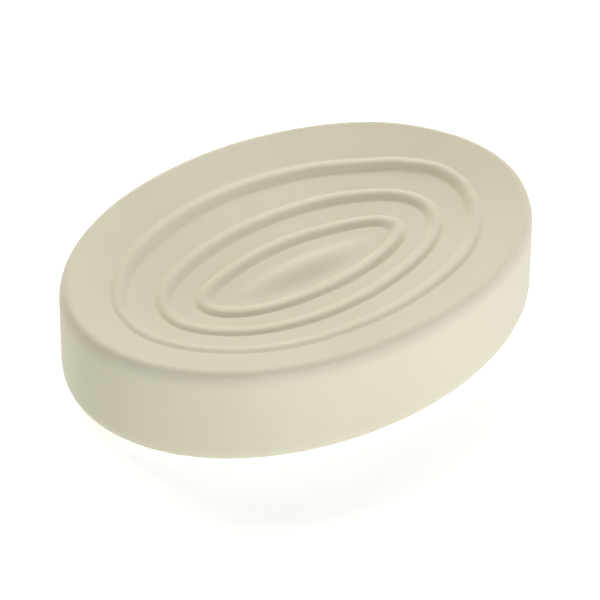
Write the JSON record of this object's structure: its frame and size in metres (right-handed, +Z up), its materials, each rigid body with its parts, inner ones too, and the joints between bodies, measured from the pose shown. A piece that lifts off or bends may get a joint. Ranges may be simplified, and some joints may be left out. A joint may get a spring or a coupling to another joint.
{
  "type": "soap dish",
  "caption": "Oval ceramic soap dish with a hollowed top, raised concentric oval ridges and a low central mound, standing on soft pads.",
  "frame": {"origin": "centre of the footprint, on the surface that the pads stand on", "axes": "+X along the length of the dish, +Y across its width, +Z up"},
  "size_m": [0.135, 0.0962, 0.0288],
  "materials": {
    "bisque_ceramic": "matte unglazed cream-white ceramic, finely sanded, with a few pinholes",
    "silicone_pad": "soft milky silicone, satin"
  },
  "bodies": {
    "root": {"dish_body": "bisque_ceramic", "pad_front_left": "silicone_pad", "pad_front_right": "silicone_pad", "pad_back_left": "silicone_pad", "pad_back_right": "silicone_pad"}
  },
  "joints": []
}
